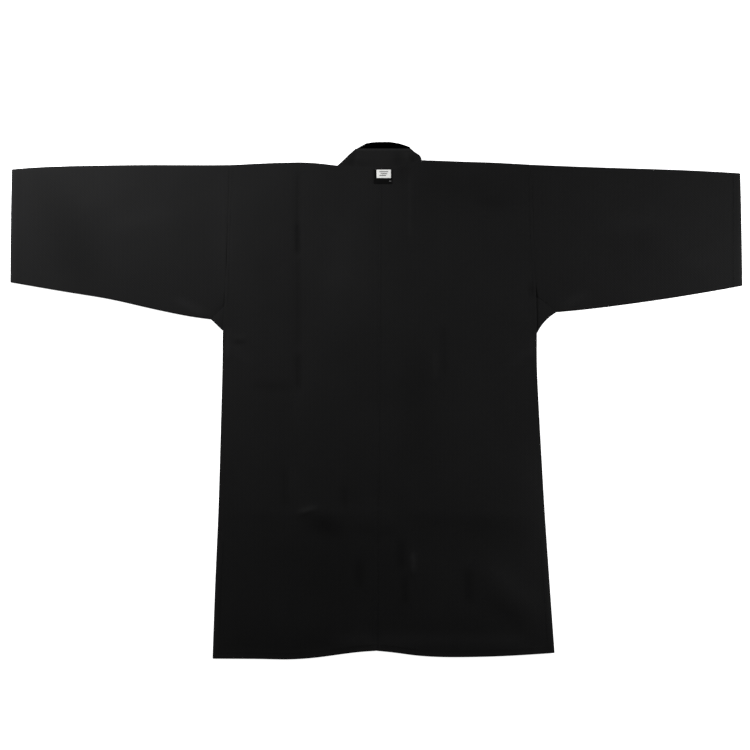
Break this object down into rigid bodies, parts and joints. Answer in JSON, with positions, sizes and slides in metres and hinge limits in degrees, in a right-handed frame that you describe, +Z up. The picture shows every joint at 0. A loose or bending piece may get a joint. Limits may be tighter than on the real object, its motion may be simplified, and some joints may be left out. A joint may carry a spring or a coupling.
{
  "type": "kendo jacket (keikogi), laid flat with its back up",
  "caption": "Black cotton kendo jacket laid flat on its front: straight wide sleeves, underarm gussets, a standing collar band and a small label at the nape.",
  "frame": {"origin": "on the surface that the jacket lies on, below the middle of its outline", "axes": "+Z up from the surface towards the jacket's back, +Y from the hem to the collar, +X towards the wearer's right cuff"},
  "size_m": [1.279, 0.904, 0.0124],
  "materials": {
    "quilted_cotton": "matt black quilted cotton with a fine raised weave",
    "collar_cotton": "matt black cotton folded double, with stitched edges",
    "inner_cotton": "plain smooth black cotton on the collar's inner leaf",
    "tie_tape": "flat black cotton tie with stitched edges",
    "label_black": "tight black woven patch",
    "label_white": "pale woven field with plain grey bars"
  },
  "bodies": {
    "root": {"back_left": "quilted_cotton", "back_right": "quilted_cotton", "front_left": "quilted_cotton", "front_right": "quilted_cotton", "sleeve_left": "quilted_cotton", "sleeve_right": "quilted_cotton", "gusset_left": "quilted_cotton", "gusset_right": "quilted_cotton", "collar_left": "collar_cotton", "collar_right": "collar_cotton", "collar_nape": "collar_cotton", "collar_nape_inner": "inner_cotton", "tie_left": "tie_tape", "tie_right": "tie_tape", "label": "label_black", "label_field": "label_white"}
  },
  "joints": []
}
